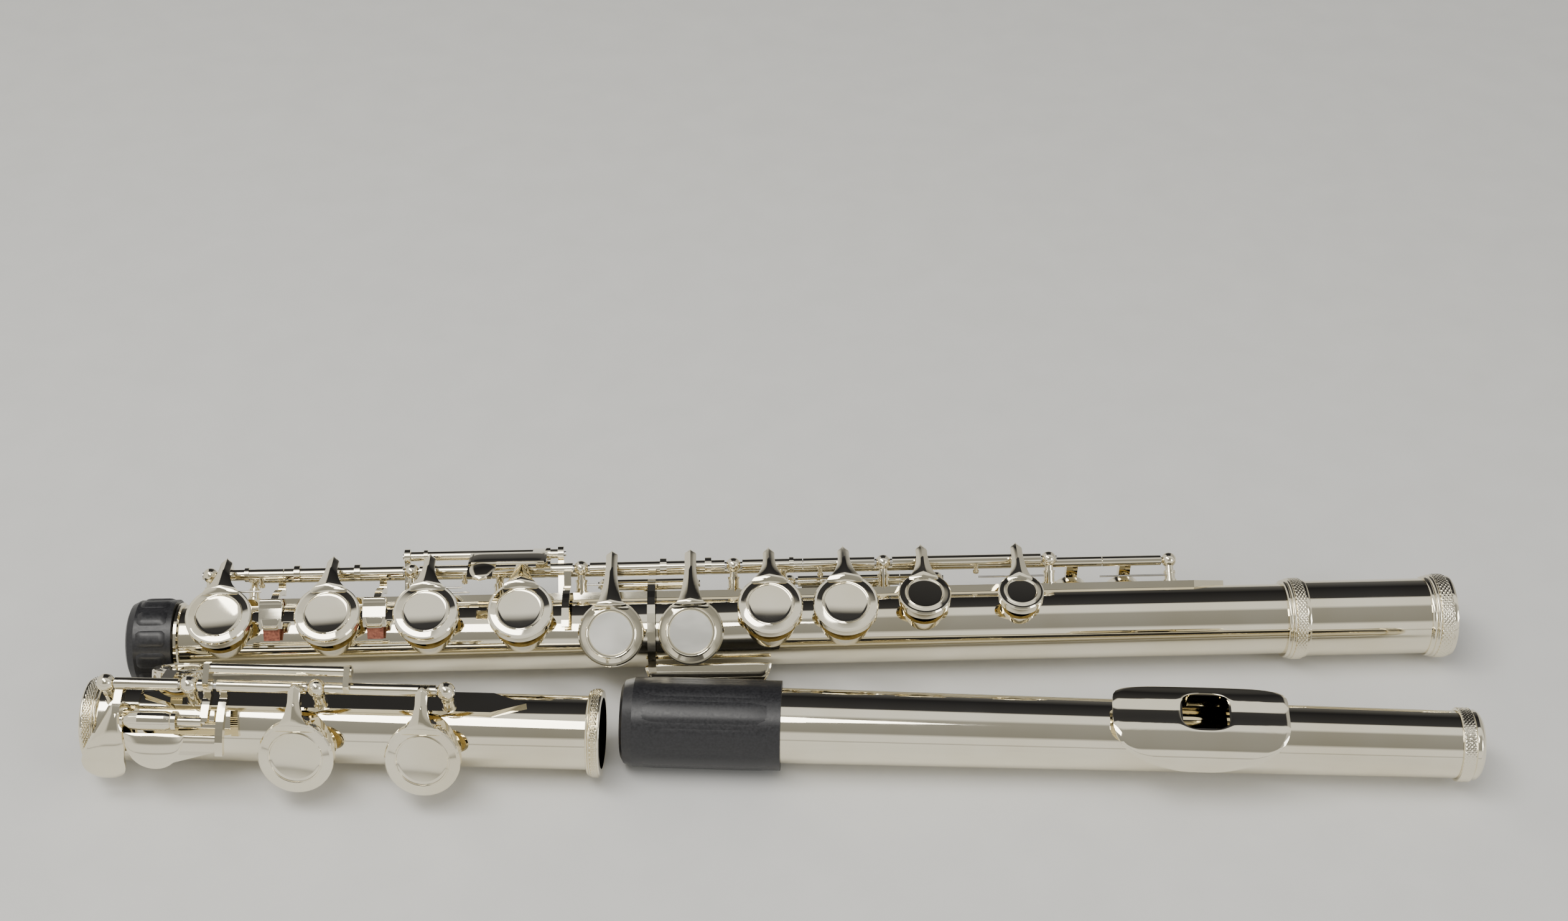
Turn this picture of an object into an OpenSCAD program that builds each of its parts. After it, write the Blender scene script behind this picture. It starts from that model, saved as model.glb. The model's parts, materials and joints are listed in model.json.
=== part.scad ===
// Concert flute taken apart into its three joints, all lying in a row:
// the body joint behind, the foot joint front left, the head joint front right.
// Each joint is drawn along X with its tone holes facing +Z and its hinge rods
// on the +Y side, and is then rolled and turned to the way it lies.

/* [Lay] */
// Roll of the body joint about its tube
body_roll = 28; // [0:1:40]
// Roll of the foot joint about its tube
foot_roll = 78; // [60:1:85]
// Roll of the head joint about its tube
head_roll = 13; // [0:1:30]
// Turn of the body joint on the table
body_yaw = 1.77; // [0:0.01:3]
// Turn of the foot joint on the table
foot_yaw = -2.05; // [-3:0.01:0]
// Turn of the head joint on the table
head_yaw = -2.24; // [-3:0.01:0]
// Distance of the body joint's middle from the origin along X
body_x = -1; // [-10:0.1:10]
// Distance of the body joint's tube behind the middle
body_y = 19.85; // [5:0.05:40]
// Distance from the body joint's tube to the head joint's
head_gap = 38.1; // [37:0.1:60]
// Height of the tube axes over the table
axis_h = 12.05; // [12.05:0.05:16]

/* [Tube] */
// Outer radius of the tube
tube_r = 9.9; // [9.5:0.05:10.2]
// Wall of the tube
wall = 0.4; // [0.3:0.05:0.5]
// Outer radius of the head joint's tenon
head_tenon_r = 10.07; // [10.05:0.01:10.12]
// Height of the tone hole rims over the tube axis
rim_z = 11.9; // [11.6:0.1:12.1]
// Radius of the barrel
barrel_r = 10.65; // [10.5:0.05:10.9]
// Radius of the knurled rings
ring_r = 11.9; // [11.3:0.05:12]
// Radius of the protector caps
cap_r = 11.8; // [11.3:0.05:12]

/* [Keys] */
// Outer radius of the large cups
cup_r = 9; // [8.7:0.1:9.3]
// Outer radius of the hinge tubes
hinge_r = 1.6; // [1.5:0.05:1.8]
// Radius of the steels in the hinge tubes
steel_r = 1; // [0.9:0.05:1.1]
// Play between a hinge tube and its steel
play = 0.03; // [0.02:0.01:0.06]
// How far a resting key stands open, in degrees
open_a = 9; // [4:0.5:10]
// Radius of the post balls
ball_r = 2.15; // [2:0.05:2.4]

/* [Hidden] */
$fn = 48;
e = 0.01;
steel_tone = "lightslategray";
silver = "silver";
pad_tone = "palegoldenrod";
cap_tone = "dimgray";
cork_tone = "sienna";

// hinge lines, as [distance from the tube axis, angle from the tone holes]
MAIN = [18.3, 66];
TRILL = [17.7, 82];
REAR = [15.4, 99.3];
SIDE = [22.6, 74];
// bridge tube and roller axle of the foot joint
BRIDGE = [21.8, 74];
ROLLER = [15.6, 34];
side_rod_r = 0.7;
trill_r = 1.45;
trill_rod_r = 0.85;
post_neck_r = 1.2;
post_foot_r = 1.5;
rib_top = 11.2;
rib_a = 74;
rib_w = 6.8;
bore_play = 0.05;
arc_steps = 10;

// cup section, measured over the tube axis
pad_gap = 0.05;
pad_h = 2.25;
cup_wall = 0.65;
cup_low = 0.45;
cup_roof = 0.7;
arm_w = 2.4;
pad_top = rim_z + pad_gap + pad_h;
cup_top = pad_top + cup_roof;

// tone holes of the body joint: [place, turn about the tube, cup radius]
D_HOLE = [-155, 0, cup_r];
E_HOLE = [-125.4, 0, cup_r];
F_HOLE = [-98.5, 0, cup_r];
F_SHARP_HOLE = [-72.7, 0, cup_r];
G_HOLE_LOW = [-47.8, -28, cup_r];
G_HOLE_HIGH = [-25.9, -28, cup_r];
A_HOLE = [-4, 0, cup_r];
B_FLAT_HOLE = [16.9, 0, cup_r];
C_HOLE = [38.8, 10, 7.3];
C_SHARP_HOLE = [65.5, 10, 6.3];
G_SHARP_HOLE = [-38, 136, 7.2];
THUMB_HOLE = [26, 136, 7.4];
D_TRILL_HOLE = [82.6, 120, 5.2];
D_SHARP_TRILL_HOLE = [97.7, 120, 5.2];
BODY_HOLES = [D_HOLE, E_HOLE, F_HOLE, F_SHARP_HOLE, G_HOLE_LOW, G_HOLE_HIGH, A_HOLE, B_FLAT_HOLE,
              C_HOLE, C_SHARP_HOLE, G_SHARP_HOLE, THUMB_HOLE, D_TRILL_HOLE, D_SHARP_TRILL_HOLE];
MAIN_POSTS = [-160.3, -104.2, -56.7, -13.9, 28.3, 75.2];
TRILL_POSTS = [-149, -80, 0, 110.2];
REAR_POSTS = [-50.5, -25.5, 2, 44];
SIDE_POSTS = [-105.6, -62.5];
rear_open = 9;
D_TOUCH_X = -112.8;
D_SHARP_TOUCH_X = -141.2;

// body joint, along the tube
tenon_r = 9.7;
tenon_x0 = -179.8;
tenon_ring_x = -169;
barrel_x0 = 140.8;
barrel_x1 = 188.2;
tube_end = 147;
socket_x = 148;
ring1_w = 6.2;
ring2_w = 7.2;

// foot joint, along the tube from its socket end
foot_len = 137.6;
foot_cup_r = 10;
FOOT_C_SHARP_HOLE = [59, 0, foot_cup_r];
FOOT_C_HOLE = [92.3, 0, foot_cup_r];
E_FLAT_HOLE = [24, 112, 7.6];
FOOT_HOLES = [FOOT_C_SHARP_HOLE, FOOT_C_HOLE, E_FLAT_HOLE];
FOOT_POSTS = [8, 30, 63.7, 97.8];
foot_x0 = -186;
foot_gap = 36.03;

// head joint, along the tube
cap_x0 = -43.5;
cap_x1 = -0.7;
head_x1 = 179.6;
crown_x0 = 178.5;
crown_r = 9.9;
lip_x = 109.6;
lip_len = 46.2;
hole_x = 110.9;
head_r1 = 8.95;
taper_x = 6;
stopper_x = 128.5;

// where each joint lies
module lay_body() {
    translate([body_x, body_y, axis_h]) rotate([body_roll, 0, body_yaw]) children();
}
module lay_head() {
    translate([body_x, body_y - head_gap, axis_h]) rotate([head_roll, 0, head_yaw]) children();
}
module lay_foot() {
    translate([body_x + foot_x0, body_y - foot_gap, axis_h]) rotate([foot_roll, 0, foot_yaw]) children();
}

// small helpers
module along(x0, x1, r) {
    translate([x0, 0, 0]) rotate([0, 90, 0]) cylinder(r = r, h = x1 - x0);
}
module cone_along(x0, x1, r0, r1) {
    translate([x0, 0, 0]) rotate([0, 90, 0]) cylinder(r1 = r0, r2 = r1, h = x1 - x0);
}
module spun(x) {
    translate([x, 0, 0]) rotate([0, 90, 0]) rotate_extrude() children();
}
module turn(a) {
    rotate([-a, 0, 0]) children();
}
module on_line(line) {
    turn(line[1]) translate([0, 0, line[0]]) children();
}
module swung(line, a) {
    on_line(line) rotate([-a, 0, 0]) translate([0, 0, -line[0]]) turn(-line[1]) children();
}
module plate_x(w) {
    translate([-w / 2, 0, 0]) rotate([90, 0, 90]) linear_extrude(w) children();
}
// points of an arc of radius r about the tube, from angle a0 to a1
function arc(r, a0, a1) = [for (i = [0:arc_steps])
    let (a = a0 + (a1 - a0) * i / arc_steps) [r * sin(a), r * cos(a)]];
// band of a circle of radius r about the tube, from angle a0 to a1, thickness t, width w
module wrap(x, w, r, t, a0, a1) {
    translate([x, 0, 0]) plate_x(w) polygon(concat(arc(r, a0, a1), arc(r + t, a1, a0)));
}

// tone hole chimneys
function chimney_r(c) = c[2] - 1.2;
module chimneys(holes) {
    for (c = holes) turn(c[1]) translate([c[0], 0, 0]) {
        cylinder(r = chimney_r(c) - 0.3, h = rim_z);
        translate([0, 0, rim_z - 0.6]) cylinder(r = chimney_r(c), h = 0.6);
    }
}
module chimney_bores(holes) {
    for (c = holes) turn(c[1]) translate([c[0], 0, 0]) cylinder(r = chimney_r(c) - 0.8, h = rim_z + 1);
}

// key cup with its raised ring and dished middle
module cup(r) {
    edge = 0.35;
    ring_at = r * 0.69;
    low = rim_z + cup_low;
    rotate_extrude() polygon([
        [0, pad_top], [r - cup_wall, pad_top], [r - cup_wall, low], [r, low], [r, cup_top - edge],
        [r - edge, cup_top], [ring_at + 0.35, cup_top], [ring_at + 0.2, cup_top + 0.22],
        [ring_at - 0.1, cup_top + 0.22], [ring_at - 0.3, cup_top - 0.15], [r * 0.3, cup_top - 0.28],
        [0, cup_top - 0.3]]);
}
module pad(r) {
    translate([0, 0, rim_z + pad_gap]) cylinder(r = r - cup_wall - 0.05, h = pad_h);
}
module at_hole(c) {
    turn(c[1]) translate([c[0], 0, 0]) children();
}

// arm from the cup to a hinge at [h, v] in the cup's frame; b is the lean of its tip
module arm(r, h, v, b = 0) {
    lean = function (y, z) [h + y * cos(b) + z * sin(b), v - y * sin(b) + z * cos(b)];
    crest = lean(0.2, 4.7);
    heel = lean(-2.2, 1.8);
    plate_x(arm_w) polygon([
        [r - 1.4, pad_top + 0.2], [r - 1.4, cup_top + 0.1], [r, cup_top + 0.3],
        [(r + crest[0]) / 2, (cup_top + 0.3 + crest[1]) / 2 + 0.2], crest, lean(2.1, 3.7), lean(1.9, 2),
        lean(1.5, 0.2), lean(0.4, -1.4), lean(-1.4, -0.4), heel,
        [(r + heel[0]) / 2, (cup_top - 1 + heel[1]) / 2],
        [r - 0.3, rim_z + cup_low + 0.5], [r - 0.3, pad_top + 0.2]]);
}
// short strap from a back cup to a hinge close beside it
module strap(r, h, v) {
    plate_x(3.2) polygon([
        [r * 0.4, pad_top + 0.3], [r * 0.4, cup_top + 0.7], [r + 0.4, cup_top + 0.7], [h + 0.5, v + 1.3],
        [h + 1.2, v], [h - 0.2, v - 1.2], [r - 0.2, v - 0.8], [r - 0.2, pad_top + 0.3]]);
}
// one cup with its arm, hinged on a line; c is the tone hole
module cup_on(c, line) {
    a = line[1] - c[1];
    h = line[0] * sin(abs(a));
    v = line[0] * cos(a);
    at_hole(c) {
        cup(c[2]);
        if (a > 0) arm(c[2], h, v, -c[1]);
        else mirror([0, 1, 0]) strap(c[2], h, v);
    }
}
// hinge tube from x0 to x1, solid; the steel's bore is cut by key_on
module barrel_tube(line, x0, x1, r = hinge_r) {
    on_line(line) along(x0, x1, r);
}
module collar(line, x, r = hinge_r + 0.45, w = 1.2) {
    on_line(line) along(x - w / 2, x + w / 2, r);
}
// a whole key: children cut by the steel's bore, swung open by a
module key_on(line, x0, x1, a, bore = steel_r + play, r = hinge_r) {
    swung(line, a) difference() {
        union() {
            barrel_tube(line, x0, x1, r);
            children();
        }
        on_line(line) along(x0 - 1, x1 + 1, bore);
    }
}
// hook that a needle spring rests in
module spring_hook(line, x) {
    on_line(line) translate([x, -1.4, -0.6]) rotate([35, 0, 0]) {
        translate([0, 0, -2.9]) cylinder(r = 0.6, h = 2.6, $fn = 24);
        translate([0, 0, -3.4]) cylinder(r = 0.85, h = 0.6, $fn = 24);
    }
}

// ---------- body joint ----------
module body_tube() {
    color(silver) lay_body() difference() {
        union() {
            along(tenon_ring_x, tube_end, tube_r);
            along(tenon_x0, tenon_ring_x, tenon_r);
            chimneys(BODY_HOLES);
        }
        along(tenon_x0 - 1, tube_end + 1, tube_r - wall);
        chimney_bores(BODY_HOLES);
    }
}
module ring_at(x, w, r_in, r_out) {
    bead = 0.5;
    spun(x) polygon([
        [r_in, 0], [r_out - bead, 0], [r_out - 0.1, bead], [r_out - 0.1, 1.2], [r_out - bead, 1.5],
        [r_out - 0.3, 2], [r_out, 2.3], [r_out, w - 1.1], [r_out - bead, w - 0.8],
        [r_out - bead, w], [r_in, w]]);
}
module tenon_ring() {
    color(silver) lay_body() spun(tenon_ring_x) polygon([
        [tube_r, 0], [tube_r + 0.6, 0], [tube_r + 1, 0.4],
        [tube_r + 1, 1.2], [tube_r + 0.5, 1.6], [tube_r, 1.6]]);
}
module barrel() {
    color(silver) lay_body() difference() {
        along(barrel_x0, barrel_x1, barrel_r);
        along(barrel_x0 - 1, socket_x, tube_r);
        along(socket_x - e, barrel_x1 + 1, head_tenon_r + bore_play);
    }
}
module barrel_ring() {
    color(silver) lay_body() ring_at(barrel_x0, ring1_w, barrel_r, ring_r - 0.3);
}
module socket_ring() {
    color(silver) lay_body() ring_at(barrel_x1 - ring2_w, ring2_w, barrel_r, ring_r);
}
module rib_block(x0, x1) {
    turn(rib_a) difference() {
        translate([x0, -rib_w / 2, 9.2]) cube([x1 - x0, rib_w, rib_top - 9.2]);
        along(x0 - 1, x1 + 1, tube_r);
    }
}
module rib_outline(x0, x1, point) {
    intersection() {
        rib_block(x0, x1);
        turn(rib_a) linear_extrude(20) polygon([
            [x0, 0], [x0 + point, -rib_w / 2], [x1 - point, -rib_w / 2], [x1, 0],
            [x1 - point, rib_w / 2], [x0 + point, rib_w / 2]]);
    }
}
module rib() {
    color(silver) lay_body() rib_outline(-165.5, 125, 9);
}
// column with a foot, a collar and a ball on a hinge line
module post(line, x, r_ball) {
    turn(line[1]) translate([x, 0, 0]) {
        translate([0, 0, 9]) cylinder(r = post_foot_r + 0.4, h = rib_top - 9 + 0.7);
        translate([0, 0, 9]) cylinder(r = post_foot_r, h = line[0] - 9 - 3.4);
        translate([0, 0, line[0] - 3.9]) cylinder(r = post_foot_r + 0.2, h = 0.7);
        translate([0, 0, 9]) cylinder(r = post_neck_r, h = line[0] - 9);
        translate([0, 0, line[0]]) sphere(r = r_ball);
    }
}
// thin blade that stands between the main line and the trill line
module fin_post(x) {
    turn(SIDE[1]) translate([x - 0.8, -0.7, 9]) cube([1.6, 1.4, SIDE[0] - 9]);
    on_line(SIDE) along(x - 0.8, x + 0.8, 2.1);
}
module posts() {
    color(silver) lay_body() difference() {
        union() {
            for (x = MAIN_POSTS) post(MAIN, x, ball_r);
            for (x = TRILL_POSTS) post(TRILL, x, x > 100 ? ball_r : 1.95);
            for (x = REAR_POSTS) post(REAR, x, 1.95);
            for (x = SIDE_POSTS) fin_post(x);
        }
        along(-170, 140, tube_r);
        rib_block(-165.5, 125);
        on_line(MAIN) along(-170, 140, steel_r);
        on_line(TRILL) along(-170, TRILL_POSTS[0] + 5, trill_rod_r + play);
        on_line(TRILL) along(TRILL_POSTS[3] - 5, 140, trill_rod_r + play);
        on_line(TRILL) along(TRILL_POSTS[1] - 5, TRILL_POSTS[2] + 5, trill_r + play);
        on_line(REAR) along(-60, 60, steel_r);
        for (x = MAIN_POSTS) on_line(TRILL) along(x - 3, x + 3, trill_r + 0.4);
        on_line(SIDE) along(SIDE_POSTS[0] - 2, SIDE_POSTS[1] + 2, side_rod_r);
    }
}
module main_steels() {
    color(steel_tone) lay_body() on_line(MAIN)
        along(MAIN_POSTS[0] - ball_r, MAIN_POSTS[5] + ball_r, steel_r);
}
module rear_steels() {
    color(steel_tone) lay_body() on_line(REAR) {
        along(REAR_POSTS[0] - 2, REAR_POSTS[1] + 2, steel_r);
        along(REAR_POSTS[2] - 2, REAR_POSTS[3] + 2, steel_r);
    }
    color(steel_tone) lay_body() on_line(SIDE) along(SIDE_POSTS[0] - 1.4, SIDE_POSTS[1] + 1.4, side_rod_r);
}
// needle springs run from a post to the hook on a key
module needle(line, x0, x1, drop) {
    on_line(line) translate([x0, -1.2, -drop]) rotate([0, 90, 0]) cylinder(r = 0.28, h = x1 - x0, $fn = 16);
}
module springs() {
    color(steel_tone) lay_body() difference() {
        for (s = SPRINGS) needle(s[0], s[1], s[2], s[3]);
        on_line(MAIN) along(-170, 120, steel_r + 0.2);
        for (x = MAIN_POSTS) post(MAIN, x, ball_r);
        for (x = TRILL_POSTS) post(TRILL, x, ball_r);
    }
}
SPRINGS = [
    [MAIN, -158, -146, 4.6], [MAIN, -102.5, -90, 4.6], [MAIN, -102.5, -88, 6], [MAIN, -55, -42, 4.6],
    [MAIN, 11, 26.8, 4.6], [MAIN, 55, 73.6, 4.6], [TRILL, 90, 108.8, 4.6]];

module d_key() {
    color(silver) lay_body() key_on(MAIN, -158, -139.9, open_a) {
        cup_on(D_HOLE, MAIN);
        collar(MAIN, -150);
        spring_hook(MAIN, -146);
    }
}
module e_key() {
    color(silver) lay_body() key_on(MAIN, -139.7, -106.5, open_a) {
        cup_on(E_HOLE, MAIN);
        for (x = [-136, -119.2]) collar(MAIN, x, 2.4, 1.6);
    }
}
module f_key() {
    color(silver) lay_body() key_on(MAIN, -101.9, -86.1, open_a) {
        cup_on(F_HOLE, MAIN);
        spring_hook(MAIN, -89.4);
    }
}
module f_sharp_key() {
    color(silver) lay_body() key_on(MAIN, -85.9, -59, open_a) {
        cup_on(F_SHARP_HOLE, MAIN);
        collar(MAIN, -66, 2.4, 1.6);
        bridge_arm(-80);
        wrap(-60.4, 2, 12.4, 1.1, -20, 58);
        wrap(-60.4, 2, 12.4, 5, 57, 64);
    }
}
// flat arm that lies over the next key's arm
module bridge_arm(x) {
    on_line(MAIN) translate([x, 0, 0]) {
        plate_x(1.4) polygon([[-1.4, 0.6], [-1.4, -0.8], [1, -1.2], [2.4, 0.2], [2, 1.6], [0.6, 2]]);
    }
}
module g_keys() {
    color(silver) lay_body() key_on(MAIN, -54.2, -16.4, open_a - 1) {
        cup_on(G_HOLE_LOW, MAIN);
        cup_on(G_HOLE_HIGH, MAIN);
        for (x = [-33.6, -21]) collar(MAIN, x, 2.4, 1.8);
    }
}
module a_key() {
    color(silver) lay_body() key_on(MAIN, -11.4, 5.5, open_a) {
        cup_on(A_HOLE, MAIN);
        collar(MAIN, 2.4);
    }
}
module b_flat_key() {
    color(silver) lay_body() key_on(MAIN, 5.7, 25.8, open_a) {
        cup_on(B_FLAT_HOLE, MAIN);
        spring_hook(MAIN, 10.5);
    }
}
module c_keys() {
    color(silver) lay_body() key_on(MAIN, 30.8, 72.8, open_a) {
        cup_on(C_HOLE, MAIN);
        cup_on(C_SHARP_HOLE, MAIN);
        spring_hook(MAIN, 54.5);
    }
}
// G sharp: cup at the back, lever under the rods and between the G cups, spatula at the front
module g_sharp_leaf() {
    turn(-20) intersection() {
        translate([-20, 0, 0]) plate_x(40) polygon([
            [-9.3, 7.6], [-13, 7.7], [-16, 6.9], [-17.2, 6], [-16.4, 5.7], [-13, 6.4], [-9.7, 6.3]]);
        linear_extrude(20) hull() {
            translate([-36.4, -10.6]) circle(r = 1.4, $fn = 32);
            translate([-34.5, -14.6]) circle(r = 2.4, $fn = 32);
            translate([-9.5, -14.6]) circle(r = 2.4, $fn = 32);
            translate([-6, -10.9]) circle(r = 1.6, $fn = 32);
        }
    }
}
module g_sharp_key() {
    color(silver) lay_body() key_on(REAR, -47.9, -28.1, 0) {
        cup_on(G_SHARP_HOLE, REAR);
        // lever round the tube between the two G cups, raised where it passes over the rib
        translate([-36.9, 0, 0]) plate_x(2.2) polygon(concat(
            arc(13.8, -76, 36), arc(14.8, 44, 84), arc(15.2, 88, 98),
            arc(13.4, 98, 42), arc(12.4, 34, -76)));
        g_sharp_leaf();
    }
}
// thumb keys: cup at the back and two touches beside each other
module thumb_b_key() {
    color(silver) lay_body() key_on(REAR, 4.4, 33.4, -rear_open) {
        cup_on(THUMB_HOLE, REAR);
        wrap(12.3, 13.6, 13.9, 1.2, 103, 146);
    }
}
module thumb_b_flat_key() {
    color(silver) lay_body() key_on(REAR, 33.6, 41.6, -rear_open) {
        wrap(38, 6.6, 13.9, 1.2, 103, 140);
    }
}
module trill_touch(x) {
    translate([x, 0, 0]) plate_x(2) polygon(concat(
        arc(15, 9, 17), arc(14, 18, 79), arc(17, 80, 84.5), arc(12.6, 84.5, 9)));
    translate([x, 0, 0]) plate_x(6.2) polygon([
        [-1.6, 13.4], [-1.3, 14.6], [0.6, 15.6], [3.4, 16.1], [5.4, 16.6], [5.9, 15.4], [4.9, 14.2],
        [2.5, 13.2], [0.6, 12.9]]);
}
module trill_cork(x) {
    translate([x, 0, 0]) plate_x(4.4) polygon([[-1.6, 13.4], [0.6, 12.9], [-1.2, 11.5], [-4.2, 11]]);
}
module d_trill_key() {
    color(silver) lay_body() key_on(TRILL, -118, 90.9, 0, trill_rod_r + play, trill_r) {
        cup_on(D_TRILL_HOLE, TRILL);
        trill_touch(D_TOUCH_X);
    }
}
module d_sharp_trill_key() {
    color(silver) lay_body() {
        on_line(TRILL) along(TRILL_POSTS[0] - 1, TRILL_POSTS[3] + 1.2, trill_rod_r);
        barrel_tube(TRILL, TRILL_POSTS[0] + 2.2, -118.1, trill_r);
        barrel_tube(TRILL, 91.1, TRILL_POSTS[3] - 2.4, trill_r);
        cup_on(D_SHARP_TRILL_HOLE, TRILL);
        trill_touch(D_SHARP_TOUCH_X);
    }
}
// side lever beside the F sharp cup: a tube on its own rod, a flat bar and a leaf
module side_lever() {
    color(silver) lay_body() difference() {
        union() {
            on_line(SIDE) along(SIDE_POSTS[0] + 0.9, SIDE_POSTS[1] - 0.9, 1.35);
            for (x = [-101, -66.5]) on_line(SIDE) along(x, x + 1.1, 1.8);
            wrap(-83.6, 7, 22.4, 1, 24, 50);
            wrap(-76.2, 20, 23.2, 1, 37, 52);
            wrap(-68, 3.4, 23.2, 1, 50, 74);
        }
        on_line(SIDE) along(SIDE_POSTS[0], SIDE_POSTS[1], side_rod_r + play);
    }
}

module pad_at(c) {
    at_hole(c) pad(c[2]);
}
module d_pad() {
    color(pad_tone) lay_body() swung(MAIN, open_a) pad_at(D_HOLE);
}
module e_pad() {
    color(pad_tone) lay_body() swung(MAIN, open_a) pad_at(E_HOLE);
}
module f_pad() {
    color(pad_tone) lay_body() swung(MAIN, open_a) pad_at(F_HOLE);
}
module f_sharp_pad() {
    color(pad_tone) lay_body() swung(MAIN, open_a) pad_at(F_SHARP_HOLE);
}
module g_pads() {
    color(pad_tone) lay_body() swung(MAIN, open_a - 1) {
        pad_at(G_HOLE_LOW);
        pad_at(G_HOLE_HIGH);
    }
}
module g_sharp_pad() {
    color(pad_tone) lay_body() pad_at(G_SHARP_HOLE);
}
module a_pad() {
    color(pad_tone) lay_body() swung(MAIN, open_a) pad_at(A_HOLE);
}
module b_flat_pad() {
    color(pad_tone) lay_body() swung(MAIN, open_a) pad_at(B_FLAT_HOLE);
}
module c_pads() {
    color(pad_tone) lay_body() swung(MAIN, open_a) {
        pad_at(C_HOLE);
        pad_at(C_SHARP_HOLE);
    }
}
module thumb_pad() {
    color(pad_tone) lay_body() swung(REAR, -rear_open) pad_at(THUMB_HOLE);
}
module d_trill_pad() {
    color(pad_tone) lay_body() pad_at(D_TRILL_HOLE);
}
module d_sharp_trill_pad() {
    color(pad_tone) lay_body() pad_at(D_SHARP_TRILL_HOLE);
}
module d_trill_cork() {
    color(cork_tone) lay_body() trill_cork(D_TOUCH_X);
}
module d_sharp_trill_cork() {
    color(cork_tone) lay_body() trill_cork(D_SHARP_TOUCH_X);
}
module body_cap() {
    color(cap_tone) lay_body() spun(-182) polygon([
        [0, 0], [9.4, 0], [10.9, 0.7], [cap_r, 2.6], [cap_r, 12.9], [tenon_r + bore_play, 12.9],
        [tenon_r + bore_play, 2], [0, 2]]);
}

// ---------- head joint ----------
module head_cap() {
    color(cap_tone) lay_head() spun(cap_x0) polygon([
        [0, 0], [9.8, 0], [11.2, 0.8], [cap_r + 0.2, 3.4], [cap_r + 0.2, 42.8],
        [head_tenon_r + bore_play, 42.8], [head_tenon_r + bore_play, 2], [0, 2]]);
}
module head_tube() {
    color(silver) lay_head() difference() {
        union() {
            along(cap_x0 + 2.5, taper_x, head_tenon_r);
            cone_along(taper_x, head_x1, head_tenon_r, head_r1);
            translate([hole_x, 0, 0]) linear_extrude(12.6) offset(3) square([8.4, 5.4], center = true);
        }
        along(cap_x0 - 1, taper_x + e, head_tenon_r - wall);
        cone_along(taper_x, head_x1 + 1, head_tenon_r - wall, head_r1 - wall);
        translate([hole_x, 0, 0]) linear_extrude(20) offset(2.4) square([7.4, 5.4], center = true);
    }
}
module lip_plate() {
    top = 12.7;
    color(silver) lay_head() difference() {
        intersection() {
            translate([lip_x, 0, 0]) plate_x(lip_len) lip_section(top);
            linear_extrude(30) translate([lip_x, -1]) offset(5) square([lip_len - 10, 13], center = true);
        }
        translate([hole_x, 0, -1]) linear_extrude(30) offset(2.4) square([7.4, 5.4], center = true);
        translate([hole_x, 0, 0]) linear_extrude(12.6) offset(3) square([8.4, 5.4], center = true);
        along(50, 160, tube_r + 0.05);
    }
}
module lip_section(top) {
    inner = 11.7;
    polygon([
        [8, inner - 1.9], [7.8, inner - 1], [4, inner + 0.4], [0, top - 1],
        [-5, inner + 0.3], [-9.5, inner - 2.2], [-10.8, inner - 3.4], [-11.2, inner - 3],
        [-9.8, inner - 1.3], [-5, inner + 1.2], [0, top], [4, inner + 1.5],
        [8.2, inner - 0.1]]);
}
module crown() {
    color(silver) lay_head() {
        difference() {
            spun(crown_x0) polygon([
                [0, 1.3], [head_r1 + 0.05, 1.3], [head_r1 + 0.05, 0], [crown_r - 0.3, 0], [crown_r, 0.5],
                [crown_r, 2.6], [crown_r - 0.6, 3.2], [crown_r - 0.4, 3.8], [crown_r - 0.4, 5], [8.6, 6.2],
                [4.4, 6.8], [0, 7]]);
            along(crown_x0 - 1, crown_x0 + 6, 1.55);
        }
    }
}
module stopper() {
    color(steel_tone) lay_head() {
        along(stopper_x, stopper_x + 1.2, 8.4);
        along(stopper_x + 1.2, crown_x0 + 4.6, 1.5);
    }
}
module stopper_cork() {
    color(cork_tone) lay_head() difference() {
        along(stopper_x + 1.3, stopper_x + 17, 8.35);
        along(stopper_x, stopper_x + 30, 1.55);
    }
}

// ---------- foot joint ----------
module foot_tube() {
    color(silver) lay_foot() difference() {
        union() {
            along(0, 15, tube_r + 0.6);
            along(15 - e, foot_len, tube_r);
            chimneys(FOOT_HOLES);
        }
        along(-1, 14, tenon_r + bore_play);
        along(14 - e, foot_len + 1, tube_r - wall);
        chimney_bores(FOOT_HOLES);
    }
}
module foot_socket_ring() {
    color(silver) lay_foot() ring_at(0, 4.4, tube_r + 0.6, ring_r);
}
module foot_end_ring() {
    color(silver) lay_foot() ring_at(foot_len - 3.6, 3.6, tube_r, ring_r);
}
module foot_rib() {
    color(silver) lay_foot() difference() {
        rib_outline(16, 118, 9);
        for (c = FOOT_HOLES) at_hole(c) cylinder(r = chimney_r(c), h = rim_z);
    }
}
module foot_posts() {
    color(silver) lay_foot() difference() {
        for (x = FOOT_POSTS) post(MAIN, x, ball_r + 0.3);
        along(-5, 15, tube_r + 0.6);
        along(-5, foot_len, tube_r);
        rib_block(16, 118);
        on_line(MAIN) along(-5, 120, steel_r);
    }
}
module foot_steels() {
    color(steel_tone) lay_foot() on_line(MAIN) {
        along(FOOT_POSTS[0] - 2.4, FOOT_POSTS[1] - e, steel_r);
        along(FOOT_POSTS[1], FOOT_POSTS[3] + 2.4, steel_r);
    }
}
module e_flat_key() {
    color(silver) lay_foot() key_on(MAIN, 10.6, 27.4, 0) {
        cup_on(E_FLAT_HOLE, MAIN);
        wrap(11.8, 2, 15, 3, 40, 66);
        intersection() {
            wrap(10, 16, 14.9, 1.5, -30, 56);
            turn(17) linear_extrude(30) hull() {
                translate([7.4, -5.6]) circle(r = 5, $fn = 32);
                translate([10.9, 8]) circle(r = 1.6, $fn = 32);
            }
        }
    }
}
module foot_arm(x, a_low) {
    wrap(x, 2, 14.4, 2, a_low, 66);
    wrap(x, 2, 16, 1.6, 60, 70);
}
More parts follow.
